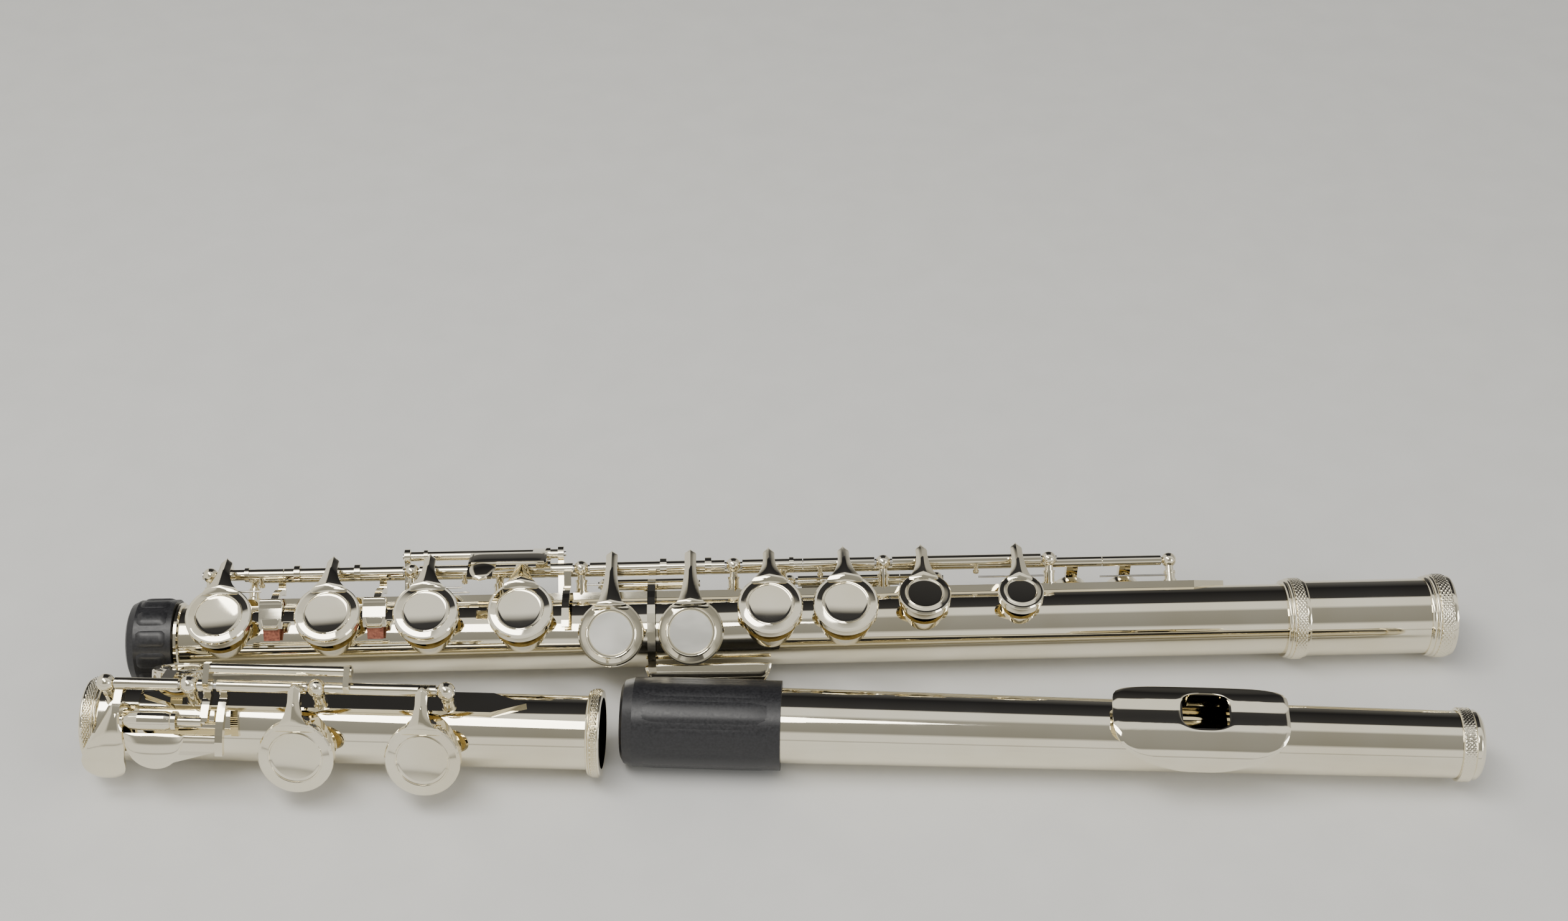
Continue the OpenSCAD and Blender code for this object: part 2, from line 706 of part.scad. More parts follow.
module foot_c_sharp_key() {
    color(silver) lay_foot() key_on(MAIN, 37.6, 61.2, open_a) {
        cup_on(FOOT_C_SHARP_HOLE, MAIN);
        foot_arm(39.3, 2);
        intersection() {
            wrap(26.5, 26, 14.4, 1.4, -18, 21);
            turn(3) linear_extrude(30) hull() {
                translate([20.6, 0]) circle(r = 4.4, $fn = 32);
                translate([17, 2.2]) circle(r = 2, $fn = 32);
                translate([36.6, 2.2]) circle(r = 2, $fn = 32);
            }
        }
    }
}
module foot_c_key() {
    color(silver) lay_foot() {
        key_on(MAIN, 32.6, 36.6, open_a) foot_arm(35, 34);
        key_on(MAIN, 66.2, 95.3, open_a) cup_on(FOOT_C_HOLE, MAIN);
        swung(MAIN, open_a) {
            on_line(BRIDGE) along(35, 73, 1.4);
            difference() {
                for (x = [35, 71.9]) translate([x, 0, 0]) turn(MAIN[1]) translate([0, 0, MAIN[0]])
                    plate_x(1.6) polygon([[-1.6, 0], [-1.6, 2.4], [2.8, 5.4], [4.6, 4], [1.8, -1]]);
                on_line(MAIN) along(30, 100, steel_r + play);
            }
            on_line(ROLLER) {
                along(13.1, 35.4, 0.6);
                along(13.1, 13.8, 1.3);
                along(28.3, 34.4, 1.3);
            }
        }
    }
}
module foot_roller() {
    color(silver) lay_foot() swung(MAIN, open_a) on_line(ROLLER) difference() {
        spun(14) polygon([
            [0, 0], [1.5, 0.3], [2.3, 1.6], [2.6, 4], [2.6, 11],
            [2.2, 12.4], [2.6, 12.8], [2.6, 14], [0, 14]]);
        along(10, 40, 0.65);
    }
}
module e_flat_pad() {
    color(pad_tone) lay_foot() pad_at(E_FLAT_HOLE);
}
module foot_c_sharp_pad() {
    color(pad_tone) lay_foot() swung(MAIN, open_a) pad_at(FOOT_C_SHARP_HOLE);
}
module foot_c_pad() {
    color(pad_tone) lay_foot() swung(MAIN, open_a) pad_at(FOOT_C_HOLE);
}

body_tube();
tenon_ring();
barrel();
barrel_ring();
socket_ring();
rib();
posts();
main_steels();
rear_steels();
springs();
d_key();
e_key();
f_key();
f_sharp_key();
g_keys();
g_sharp_key();
a_key();
b_flat_key();
c_keys();
thumb_b_key();
thumb_b_flat_key();
d_trill_key();
d_sharp_trill_key();
side_lever();
d_pad();
e_pad();
f_pad();
f_sharp_pad();
g_pads();
g_sharp_pad();
a_pad();
b_flat_pad();
c_pads();
thumb_pad();
d_trill_pad();
d_sharp_trill_pad();
d_trill_cork();
d_sharp_trill_cork();
body_cap();
head_cap();
head_tube();
lip_plate();
crown();
stopper();
stopper_cork();
foot_tube();
foot_socket_ring();
foot_end_ring();
foot_rib();
foot_posts();
foot_steels();
e_flat_key();
foot_c_sharp_key();
foot_c_key();
foot_roller();
e_flat_pad();
foot_c_sharp_pad();
foot_c_pad();
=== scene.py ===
"""A concert flute in its three joints: materials, fine keywork, studio and camera."""

import json
import math

import bmesh
import bpy
from mathutils import Matrix, Vector


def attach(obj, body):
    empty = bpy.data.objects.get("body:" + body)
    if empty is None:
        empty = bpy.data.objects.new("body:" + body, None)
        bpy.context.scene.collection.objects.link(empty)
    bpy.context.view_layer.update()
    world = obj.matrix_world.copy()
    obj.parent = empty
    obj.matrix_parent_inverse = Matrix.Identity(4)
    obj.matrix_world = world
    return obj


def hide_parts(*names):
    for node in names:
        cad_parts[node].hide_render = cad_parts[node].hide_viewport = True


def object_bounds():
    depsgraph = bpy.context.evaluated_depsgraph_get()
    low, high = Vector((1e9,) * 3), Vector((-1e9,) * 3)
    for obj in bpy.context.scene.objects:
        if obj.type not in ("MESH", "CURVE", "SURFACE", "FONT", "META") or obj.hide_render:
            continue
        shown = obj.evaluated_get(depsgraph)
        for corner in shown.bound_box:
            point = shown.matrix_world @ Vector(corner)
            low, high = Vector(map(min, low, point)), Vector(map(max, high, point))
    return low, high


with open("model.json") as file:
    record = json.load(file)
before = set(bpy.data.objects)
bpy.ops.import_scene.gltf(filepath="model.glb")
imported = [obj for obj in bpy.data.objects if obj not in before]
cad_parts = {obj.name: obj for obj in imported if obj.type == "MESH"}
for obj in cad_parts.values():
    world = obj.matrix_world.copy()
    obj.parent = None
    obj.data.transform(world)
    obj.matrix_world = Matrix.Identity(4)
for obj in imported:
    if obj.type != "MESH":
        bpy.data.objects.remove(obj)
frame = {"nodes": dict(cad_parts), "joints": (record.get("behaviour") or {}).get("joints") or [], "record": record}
cad_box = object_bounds()

MM = 0.001
JOINTS = {j["name"]: j for j in frame["joints"]}
MOUNTS = {m["name"]: m for m in frame["record"]["mounts"]}
NODES = frame["nodes"]
SLOT_OF = {s["node"]: s["material_slot"] for s in frame["record"]["subparts"]}

# hinge lines: distance from the tube axis in mm and angle from the tone holes in degrees
MAIN = (18.3, 66.0)
TRILL = (17.7, 82.0)
REAR = (15.4, 99.3)
# a cup over its tone hole: rim of the chimney, then gap, pad and the cup's own top, in mm
RIM_Z = 11.9
PAD_GAP = 0.05
PAD_H = 2.25
CUP_WALL = 0.7
CUP_TOP = RIM_Z + PAD_GAP + PAD_H + CUP_WALL
# degrees that an open key stands off its hole
OPEN_A = 9.0
# places of the frame's mounts and of the crown along their joints, in mm
BARREL_MOUNT_X = 168.0
FOOT_MOUNT_X = 7.0
CROWN_X = 182.0
HEAD_ROLL = 13.0


# ---------- local frames of the three joints ----------
def tube_frame(point, axis, hinge_point, hinge_angle):
    """Matrix from a joint's own millimetres to the frame: X along the tube, Z through the tone holes."""
    x = Vector(axis).normalized()
    out = Vector(hinge_point) - Vector(point)
    out = (out - x * out.dot(x)).normalized()
    z = Matrix.Rotation(math.radians(hinge_angle), 3, x) @ out
    y = z.cross(x)
    m = Matrix((x, y, z)).transposed().to_4x4()
    m.translation = Vector(point)
    return m @ Matrix.Scale(MM, 4)


def joint_frame(mount, sign, x_at, joint):
    """Frame of a joint from a mount at x_at along it and one key's hinge on its main line."""
    axis = [sign * c for c in MOUNTS[mount]["axis"]]
    origin = Vector(MOUNTS[mount]["pos_m"]) - Vector(axis) * x_at * MM
    return tube_frame(origin, axis, JOINTS[joint]["pos_m"], MAIN[1])


def head_frame():
    """Frame of the head joint from the crown's own axis."""
    axis = Vector(JOINTS["crown_turn"]["axis"])
    crown_at = Vector(JOINTS["crown_turn"]["pos_m"])
    up = Matrix.Rotation(math.radians(HEAD_ROLL), 3, axis) @ Vector((0, 0, 1))
    return tube_frame(crown_at - axis * CROWN_X * MM, axis, crown_at + up, 0.0)


BODY = joint_frame("barrel_socket", 1, BARREL_MOUNT_X, "d_press")
FOOT = joint_frame("foot_socket", -1, FOOT_MOUNT_X, "e_flat_press")
HEAD = head_frame()


def on_line(line):
    """Matrix of a hinge line in a joint's own frame: X along it, Z straight out of the tube."""
    return Matrix.Rotation(math.radians(-line[1]), 4, "X") @ Matrix.Translation((0, 0, line[0]))


def turned(angle):
    """The turn about the tube that brings its top to angle."""
    return Matrix.Rotation(math.radians(-angle), 4, "X")


def swung(line, angle):
    """The turn about a hinge line that opens a key by angle."""
    hinge = on_line(line)
    return hinge @ Matrix.Rotation(math.radians(-angle), 4, "X") @ hinge.inverted()


# ---------- materials ----------
def principled(name):
    material = bpy.data.materials.new(name)
    material.use_nodes = True
    nodes = material.node_tree.nodes
    shader = nodes["Principled BSDF"]
    return material, nodes, material.node_tree.links, shader


def noise(nodes, links, scale, detail, stretch=(1, 1, 1)):
    coords = nodes.new("ShaderNodeTexCoord")
    mapping = nodes.new("ShaderNodeMapping")
    mapping.inputs["Scale"].default_value = stretch
    texture = nodes.new("ShaderNodeTexNoise")
    texture.inputs["Scale"].default_value = scale
    texture.inputs["Detail"].default_value = detail
    links.new(coords.outputs["Object"], mapping.inputs["Vector"])
    links.new(mapping.outputs["Vector"], texture.inputs["Vector"])
    return texture.outputs["Fac"]


def ramp(nodes, links, value, stops):
    node = nodes.new("ShaderNodeValToRGB")
    elements = node.color_ramp.elements
    while len(elements) < len(stops):
        elements.new(0.5)
    for element, (at, color) in zip(elements, stops):
        element.position = at
        element.color = color if len(color) == 4 else (*color, 1)
    links.new(value, node.inputs["Fac"])
    return node.outputs["Color"]


def grey(v):
    return (v, v, v)


def bump(nodes, links, shader, value, strength, distance):
    node = nodes.new("ShaderNodeBump")
    node.inputs["Strength"].default_value = strength
    node.inputs["Distance"].default_value = distance
    links.new(value, node.inputs["Height"])
    links.new(node.outputs["Normal"], shader.inputs["Normal"])


def metal(name, light, dark, rough, smudge, scratch):
    """Plated metal: faint cloudy tarnish, finger smudges in the gloss and hairline scratches."""
    material, nodes, links, shader = principled(name)
    shader.inputs["Metallic"].default_value = 1.0
    cloud = noise(nodes, links, 38.0, 3.0)
    links.new(ramp(nodes, links, cloud, [(0.32, dark), (0.62, light)]), shader.inputs["Base Color"])
    smears = noise(nodes, links, 120.0, 5.0, (0.6, 1, 1))
    gloss = ramp(nodes, links, smears, [(0.42, grey(rough)), (0.75, grey(smudge))])
    links.new(gloss, shader.inputs["Roughness"])
    hair = noise(nodes, links, 900.0, 2.0, (0.12, 1, 1))
    bump(nodes, links, shader, hair, scratch, 0.00002)
    return material


def skin(name, light, dark, scale, rough, strength, distance, sheen=0.0):
    """Soft or moulded matter: two tones in a noise, with a grain to match."""
    material, nodes, links, shader = principled(name)
    grain = noise(nodes, links, scale, 6.0)
    links.new(ramp(nodes, links, grain, [(0.35, dark), (0.65, light)]), shader.inputs["Base Color"])
    gloss = ramp(nodes, links, grain, [(0.3, grey(rough)), (0.7, grey(rough + 0.12))])
    links.new(gloss, shader.inputs["Roughness"])
    shader.inputs["Sheen Weight"].default_value = sheen
    bump(nodes, links, shader, grain, strength, distance)
    return material


MATERIALS = {
    "silver_plate": metal("silver_plate", (0.9, 0.845, 0.69), (0.83, 0.765, 0.59), 0.03, 0.09, 0.03),
    "satin_silver": metal("satin_silver", (0.86, 0.85, 0.8), (0.78, 0.77, 0.71), 0.3, 0.42, 0.1),
    "steel": metal("steel", (0.66, 0.65, 0.62), (0.52, 0.51, 0.49), 0.16, 0.3, 0.3),
    "pad_skin": skin("pad_skin", (0.8, 0.62, 0.24), (0.6, 0.42, 0.13), 900.0, 0.42, 0.35, 0.00008, 0.25),
    "cork": skin("cork", (0.46, 0.17, 0.11), (0.22, 0.07, 0.05), 1400.0, 0.62, 0.8, 0.00015),
    "stopper_cork": skin("stopper_cork", (0.7, 0.5, 0.3), (0.45, 0.29, 0.16), 900.0, 0.7, 0.8, 0.0002),
    "black_plastic": skin(
        "black_plastic", (0.022, 0.022, 0.025), (0.014, 0.014, 0.016), 1500.0, 0.3, 0.12, 0.00004),
}


def smooth(obj, angle):
    for polygon in obj.data.polygons:
        polygon.use_smooth = True
    obj.data.set_sharp_from_angle(angle=math.radians(angle))


for node_name, node in NODES.items():
    node.data.materials.clear()
    node.data.materials.append(MATERIALS[SLOT_OF[node_name]])


# ---------- mesh helpers ----------
def piece(name, vertices, faces, matrix, body, slot, edge_angle):
    """A mesh drawn in a joint's own millimetres, placed by matrix, that rides on body."""
    mesh = bpy.data.meshes.new(name)
    mesh.from_pydata([matrix @ Vector(v) for v in vertices], [], faces)
    mesh.update()
    work = bmesh.new()
    work.from_mesh(mesh)
    bmesh.ops.remove_doubles(work, verts=work.verts, dist=1e-7)
    bmesh.ops.recalc_face_normals(work, faces=work.faces)
    work.to_mesh(mesh)
    work.free()
    obj = bpy.data.objects.new(name, mesh)
    bpy.context.scene.collection.objects.link(obj)
    mesh.materials.append(MATERIALS[slot])
    smooth(obj, edge_angle)
    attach(obj, body)
    return obj


def catmull(a, b, c, d, t):
    """Point at t between b and c of a Catmull-Rom curve through a, b, c and d."""
    squared = (2 * a - 5 * b + 4 * c - d) * t * t
    return 0.5 * (2 * b + (c - a) * t + squared + (3 * b - a - 3 * c + d) * t ** 3)


def spline(points, count):
    """Catmull-Rom curve through points, resampled to count points."""
    ends = [2 * points[0] - points[1], *points, 2 * points[-1] - points[-2]]
    out = []
    for i in range(count):
        at = (len(points) - 1) * i / (count - 1)
        k = min(int(at), len(points) - 2)
        t = at - k
        out.append(catmull(*ends[k:k + 4], t))
    return out


def closed_spline(points, count):
    """Closed Catmull-Rom curve through points, resampled to count points."""
    n = len(points)
    out = []
    for i in range(count):
        at = n * i / count
        k, t = int(at), at - int(at)
        out.append(catmull(*(Vector(points[(k + m) % n]) for m in (-1, 0, 1, 2)), t))
    return out


def mesh_of(rings, closed=False):
    """Vertices, and faces between each ring of points and the next, back to the first ring if closed."""
    n, count = len(rings[0]), len(rings)
    vertices = [v for ring in rings for v in ring]
    faces = []
    for k in range(count if closed else count - 1):
        m = (k + 1) % count
        for i in range(n):
            j = (i + 1) % n
            faces.append((k * n + i, k * n + j, m * n + j, m * n + i))
    return vertices, faces


def loft(rings):
    """Vertices and faces of a closed loft through rings of equal length, with flat ends."""
    n = len(rings[0])
    vertices, faces = mesh_of(rings)
    ends = [tuple(range(n))[::-1], tuple(range((len(rings) - 1) * n, len(rings) * n))]
    return vertices, ends + faces


def lathe(profile, segments, radius_shift=None):
    """Closed profile of (x, r) points turned about X; radius_shift(x, r, angle) may work its surface."""
    rings = []
    for k in range(segments):
        a = 2 * math.pi * k / segments
        ring = []
        for x, r in profile:
            r += radius_shift(x, r, a) if radius_shift else 0
            ring.append((x, r * math.sin(a), r * math.cos(a)))
        rings.append(ring)
    return mesh_of(rings, closed=True)


def shell(point, radius, thick, crown, along=24, across=13, rim=0.25):
    """Closed leaf that hugs the tube: point(u, v) gives (x, angle) for u in 0..1 and v in -1..1."""
    rings = []
    for k in range(along + 1):
        u = k / along
        top, low = [], []
        for i in range(across):
            v = -1 + 2 * i / (across - 1)
            x, a = point(u, v)
            a = math.radians(a)
            fade = (1 - abs(v) ** 6) * (1 - abs(2 * u - 1) ** 8)
            r = radius + thick * (1 - rim) + (thick * rim + crown * (1 - v * v)) * fade
            top.append((x, r * math.sin(a), r * math.cos(a)))
            r = radius + thick * rim * (1 - fade)
            low.append((x, r * math.sin(a), r * math.cos(a)))
        rings.append(top + low[::-1])
    return loft(rings)


# ---------- cups ----------
UPRIGHT = Matrix.Rotation(math.radians(-90), 4, "Y")
# how far a turned face stands off the CAD cup, and how deep its middle is dished, in mm
LIFT = 0.03
DISH = 0.24
CUP_SEGMENTS = 96
BODY_CUPS = [
    # body, place along the tube, angle round it, cup radius, degrees open
    ("d", -155.0, 0, 9.0, OPEN_A), ("e", -125.4, 0, 9.0, OPEN_A), ("f", -98.5, 0, 9.0, OPEN_A),
    ("f_sharp", -72.7, 0, 9.0, OPEN_A),
    ("g", -47.8, -28, 9.0, OPEN_A - 1), ("g", -25.9, -28, 9.0, OPEN_A - 1),
    ("a", -4.0, 0, 9.0, OPEN_A), ("b_flat", 16.9, 0, 9.0, OPEN_A),
    ("c", 38.8, 10, 7.3, OPEN_A), ("c", 65.5, 10, 6.3, OPEN_A)]


def cup_face(name, matrix, body, hole, angle, r, line, opened, flat=False):
    """Turned top of a cup: chamfered rim, broad ring, raised bead and a dished or flat satin middle."""
    top, low = CUP_TOP + LIFT, RIM_Z + 0.47
    bead = r * (0.72 if flat else 0.69)
    inner = bead - 0.32
    side = [(low, r - 0.3), (low, r + LIFT), (top - 0.95, r + LIFT), (top - 0.8, r)]
    ring = [(top - 0.3, r - 0.42), (top - 0.12, r - 0.62), (top - 0.03, r - 0.85), (top, bead + 0.5)]
    raised = [
        (top + 0.05, bead + 0.4), (top + 0.2, bead + 0.3), (top + 0.27, bead + 0.12),
        (top + 0.2, bead - 0.06), (top + 0.02, bead - 0.18)]
    outline = side + ring + raised
    steps = 10
    for i in range(steps + 1):
        share = 1 - i / steps
        dish = 0.08 if flat else 0.02 + DISH * (1 - share * share)
        outline.append((top - dish - LIFT, inner * share))
    outline += [(top - 0.5, 0.0), (top - 0.5, bead), (top - 0.9, r - 0.4)]
    vertices, faces = lathe(outline, CUP_SEGMENTS)
    place = matrix @ swung(line, opened) @ turned(angle) @ Matrix.Translation((hole, 0, 0)) @ UPRIGHT
    piece(name, vertices, faces, place, body, "silver_plate", 28)
    if flat:
        rim = inner - 0.2
        outline = [(top - 0.16, 0.0), (top - 0.16, rim), (top - 0.06, inner - 0.3), (top - 0.05, 0.0)]
        vertices, faces = lathe(outline, CUP_SEGMENTS)
        disc = piece(name + "_disc", vertices, faces, place, body, "silver_plate", 28)
        disc.data.materials[0] = MATERIALS["satin_silver"]


def cup_faces():
    for number, (body, hole, angle, cup_r, opened) in enumerate(BODY_CUPS):
        cup_face(f"{body}_cup_{number}", BODY, body, hole, angle, cup_r, MAIN, opened, body == "g")
    cup_face("g_sharp_cup", BODY, "g_sharp", -38.0, 136, 7.2, REAR, 0)
    cup_face("thumb_cup", BODY, "thumb_b", 26.0, 136, 7.4, REAR, -OPEN_A)
    cup_face("d_trill_cup", BODY, "d_trill", 82.6, 120, 5.2, TRILL, 0)
    cup_face("d_sharp_trill_cup", BODY, "d_sharp_trill", 97.7, 120, 5.2, TRILL, 0)
    cup_face("foot_c_sharp_cup", FOOT, "foot_c_sharp", 59.0, 0, 10.0, MAIN, OPEN_A)
    cup_face("foot_c_cup", FOOT, "foot_c", 92.3, 0, 10.0, MAIN, OPEN_A)
    cup_face("e_flat_cup", FOOT, "e_flat", 24.0, 112, 7.6, MAIN, 0)


# ---------- pointed key arms ----------
# half widths in mm from the flare on the cup to the point over the hinge
ARM_WIDTHS = [5.0, 5.0, 4.9, 4.6, 4.1, 3.4, 2.7, 2.15, 1.8, 1.6, 1.6, 1.6, 1.2, 0.3]
ARM_STEPS = 30


def pointed_arm(name, matrix, body, hole, angle, cup_r, line=MAIN, opened=OPEN_A):
    """Gabled arm that flares onto the cup and ends in a point over the hinge tube."""
    lean = math.radians(-angle)
    away = math.radians(line[1] - angle)
    h, v = line[0] * math.sin(away), line[0] * math.cos(away)

    def leaned(y, z):
        c, s = math.cos(lean), math.sin(lean)
        return Vector((h + y * c + z * s, v - y * s + z * c))

    crest = leaned(0.2, 5.3)
    tip = leaned(2.65, 4.2)
    edge = Vector((cup_r, CUP_TOP + 0.68))
    middle = (edge + crest) / 2 + Vector((0, 0.45))
    root = [Vector((cup_r - 2.6, CUP_TOP)), Vector((cup_r - 1.7, CUP_TOP + 0.42))]
    tops = spline([*root, edge, middle, crest, tip], ARM_STEPS)
    widths = spline([Vector((w, 0)) for w in ARM_WIDTHS], ARM_STEPS)
    scale = cup_r / 9
    rings = []
    for k, top in enumerate(tops):
        before, after = tops[max(k - 1, 0)], tops[min(k + 1, len(tops) - 1)]
        way = (after - before).normalized()
        up = Vector((-way.y, way.x))
        share = k / (len(tops) - 1)
        neck = min(1, max(0, (share - 0.3) / 0.4))
        w = widths[k].x * (scale + (1 - scale) * neck)
        ridge = 0.12 + 0.55 * min(1, share * 3)
        deep = 0.35 + 2.0 * max(0, min(1, (share - 0.3) * 3.5)) * (1 - 0.45 * max(0, share - 0.75) * 4)
        slope = [(w, -0.05), (w * 0.86, 0.12), (w * 0.3, ridge * 0.72)]
        section = [(-a, b) for a, b in slope] + [(0, ridge)] + slope[::-1]
        section += [(w * 0.9, -deep), (-w * 0.9, -deep)]
        rings.append([(hole + a, top.x + up.x * b, top.y + up.y * b) for a, b in section])
    vertices, faces = loft(rings)
    place = matrix @ swung(line, opened) @ turned(angle)
    piece(name, vertices, faces, place, body, "silver_plate", 40)


for number, (body, hole, angle, cup_r, opened) in enumerate(BODY_CUPS):
    pointed_arm(f"{body}_arm_{number}", BODY, body, hole, angle, cup_r, MAIN, opened)
cup_faces()
pointed_arm("foot_c_sharp_arm", FOOT, "foot_c_sharp", 59.0, 0, 10.0)
pointed_arm("foot_c_arm", FOOT, "foot_c", 92.3, 0, 10.0)


# ---------- knurled rings ----------
def knurl(along, angle, teeth):
    """Depth, 0 to 1, of crossed knurls at a share along their band and an angle round it."""
    across = along * 3.0
    round_it = angle * teeth / (2 * math.pi)
    one = abs(((round_it + across) % 1) - 0.5) * 2
    two = abs(((round_it - across) % 1) - 0.5) * 2
    return 1 - min(one, two)


def knurled_ring(name, matrix, body, node, x0, width, r_in, r_out, flip=False):
    """Two-step lip, a band of crossed knurls and a plain lip, standing for the plain CAD ring."""
    teeth = 52
    band = (0.36 * width, 0.82 * width)
    depth = 0.4
    outline = [
        (0, r_in), (0, r_out - 0.9), (0.05 * width, r_out - 0.62), (0.13 * width, r_out - 0.55),
        (0.18 * width, r_out - 0.75), (0.21 * width, r_out - 0.35), (0.26 * width, r_out - 0.22),
        (0.32 * width, r_out - 0.3), (0.35 * width, r_out - 0.55)]
    steps = 12
    outline += [(band[0] + (band[1] - band[0]) * i / steps, r_out) for i in range(steps + 1)]
    outline += [
        (0.84 * width, r_out - 0.55), (0.87 * width, r_out - 0.5), (0.93 * width, r_out - 0.45),
        (width, r_out - 0.6), (width, r_in)]

    def worked(x, r, a):
        if not band[0] - 1e-6 <= x <= band[1] + 1e-6 or r < r_out - 0.1:
            return 0
        along = (x - band[0]) / (band[1] - band[0])
        edge = min(1, (x - band[0]) / 0.15, (band[1] - x) / 0.15)
        return -depth * knurl(along, a, teeth) - 0.12 * (1 - max(0, edge))

    vertices, faces = lathe(outline, teeth * 6, worked)
    if flip:
        vertices = [(width - x, y, z) for x, y, z in vertices]
    vertices = [(x + x0, y, z) for x, y, z in vertices]
    ring = piece(name, vertices, faces, matrix, body, "silver_plate", 50)
    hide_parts(node)


knurled_ring("barrel_ring_knurled", BODY, "body_joint", "barrel_ring", 140.8, 6.2, 10.65, 11.6)
knurled_ring("socket_ring_knurled", BODY, "body_joint", "socket_ring", 181.0, 7.2, 10.65, 11.9)
knurled_ring("foot_socket_ring_knurled", FOOT, "foot", "foot_socket_ring", 0.0, 4.4, 10.5, 11.9, True)
knurled_ring("foot_end_ring_knurled", FOOT, "foot", "foot_end_ring", 134.0, 3.6, 9.9, 11.9)


# ---------- touches, leaves and spatulas ----------
def teardrop(u, blunt):
    """Half width, 0 to 1, of a leaf from its root at u 0 to its round end at u 1."""
    u = min(max(u, 0.0), 1.0)
    if u > blunt:
        return math.sqrt(max(0.0, 1 - ((u - blunt) / (1 - blunt)) ** 2))
    return 0.22 + 0.78 * math.sin(math.pi / 2 * u / blunt) ** 1.6


def shell_piece(name, point, radius, thick, crown, along, across, matrix, body, rim=0.25):
    vertices, faces = shell(point, radius, thick, crown, along, across, rim)
    piece(name, vertices, faces, matrix, body, "silver_plate", 50)


def e_flat_leaf(u, v):
    angle = 53 - 89 * u
    middle = 11.3 - 3.9 * min(1, u * 1.5) ** 1.2
    return middle + v * max(0.05, 5.7 * teardrop(u, 0.72)), angle


def c_sharp_spatula(u, v):
    """Straight upper lip with a round belly about middle, and a narrow tail on its far side."""
    middle = 21.8
    x = 40.0 - 26.0 * u
    far = x > middle
    across = (x - middle) / (8.2 if far else 7.8)
    bulge = 37 * math.sqrt(max(0.0, 1 - across * across))
    upper = 21.5
    lower = upper - max(6.5 if far else 1.0, bulge)
    return x, (upper + lower) / 2 + v * (upper - lower) / 2


shell_piece("e_flat_leaf", e_flat_leaf, 14.7, 1.9, 0.45, 40, 15, FOOT, "e_flat")
shell_piece("foot_c_sharp_spatula", c_sharp_spatula, 14.25, 1.7, 0.25, 44, 15,
            FOOT @ swung(MAIN, OPEN_A), "foot_c_sharp")


def bent_plate(name, outline, height, thick, matrix, body, edge=0.35, rings=12):
    """Plate over a closed outline of (x, y) points whose top follows height(x, y), with rounded edges."""
    centre = sum(outline, Vector((0, 0))) / len(outline)
    tops, lows = [], []
    for k in range(rings + 1):
        t = 1 - (1 - k / rings) ** 1.6
        roll = edge * max(0.0, (t - 0.9) / 0.1) ** 2
        ring = [centre + (p - centre) * t for p in outline]
        tops.append([(q.x, q.y, height(q.x, q.y) - roll) for q in ring])
        lows.append([(q.x, q.y, height(q.x, q.y) - thick + roll * 0.6) for q in ring])
    vertices, faces = mesh_of(tops + lows[::-1])
    piece(name, vertices, faces, matrix, body, "silver_plate", 50)


G_SHARP_OUTLINE = [
    (-38.1, -9.1), (-38.3, -12), (-37.2, -15.8), (-34, -17.5), (-24, -17.7), (-12, -17.6),
    (-7.6, -16.4), (-5.2, -13.2), (-4.0, -10), (-5.0, -9.1), (-14, -9), (-28, -9)]


def g_sharp_height(_, y):
    """Height of the spatula's top, which bends down past its middle."""
    return 7.8 - 0.028 * max(0.0, -y - 11) ** 2


bent_plate("g_sharp_spatula", closed_spline(G_SHARP_OUTLINE, 96), g_sharp_height, 1.9,
           BODY @ turned(-20), "g_sharp")


# ---------- trill touches ----------
TOUCH_OUTLINE = [
    (-1.9, 13.3), (-1.6, 14.7), (0.3, 15.5), (2.2, 15.75), (3.9, 16.25), (5.6, 16.95), (6.2, 15.7),
    (5.1, 14.0), (2.7, 12.95), (0.6, 12.65)]


def swept_block(name, outline, x, half, body):
    """Closed outline of (y, z) points swept along X, rounded at its ends and narrower towards its nose."""
    centre = sum(outline, Vector((0, 0))) / len(outline)
    rings = []
    steps = 14
    for k in range(steps + 1):
        side = math.sin(math.pi * (k / steps - 0.5))
        shrink = 0.86 + 0.14 * (1 - abs(side) ** 12) ** 0.5
        ring = []
        for p in outline:
            width = 0.66 + 0.34 * min(1, max(0, (p.x + 1.9) / 5))
            ring.append((x + half * side * width, *(centre + (p - centre) * shrink)))
        rings.append(ring)
    vertices, faces = loft(rings)
    piece(name, vertices, faces, BODY, body, "silver_plate", 40)


for body, x in (("d_trill", -112.8), ("d_sharp_trill", -141.2)):
    swept_block(body + "_touch", closed_spline(TOUCH_OUTLINE, 60), x, 3.25, body)


# ---------- side lever ----------
def side_leaf(u, v):
    return -83.6 + v * max(0.05, 3.7 * teardrop(u, 0.6)) + 1.2 * (1 - u), 51 - 29 * u


def side_bar(u, v):
    return -87.0 + 21.4 * u, 44.5 + 8.2 * v


shell_piece("side_lever_leaf", side_leaf, 22.25, 1.3, 0.4, 24, 13, BODY, "side_lever")
shell_piece("side_lever_bar", side_bar, 23.05, 1.35, 0.03, 24, 13, BODY, "side_lever", 0.4)


# ---------- lip plate ----------
LIP_X = 109.6
LIP_HALF_X = 23.1
HOLE_X = 110.9
# the plate's height across the tube, from the near edge to the far one
LIP_CURVE = [
    (-13.4, 4.4), (-12.9, 7.0), (-11.5, 9.4), (-9.4, 11.2),
    (-5, 13.0), (0, 12.85), (4, 13.3), (8.25, 11.75)]


def lip_height(y):
    curve = spline([Vector(p) for p in LIP_CURVE], 61)
    for a, b in zip(curve, curve[1:]):
        if a.x <= y <= b.x:
            return a.y + (b.y - a.y) * (y - a.x) / (b.x - a.x)
    return curve[0].y if y < curve[0].x else curve[-1].y


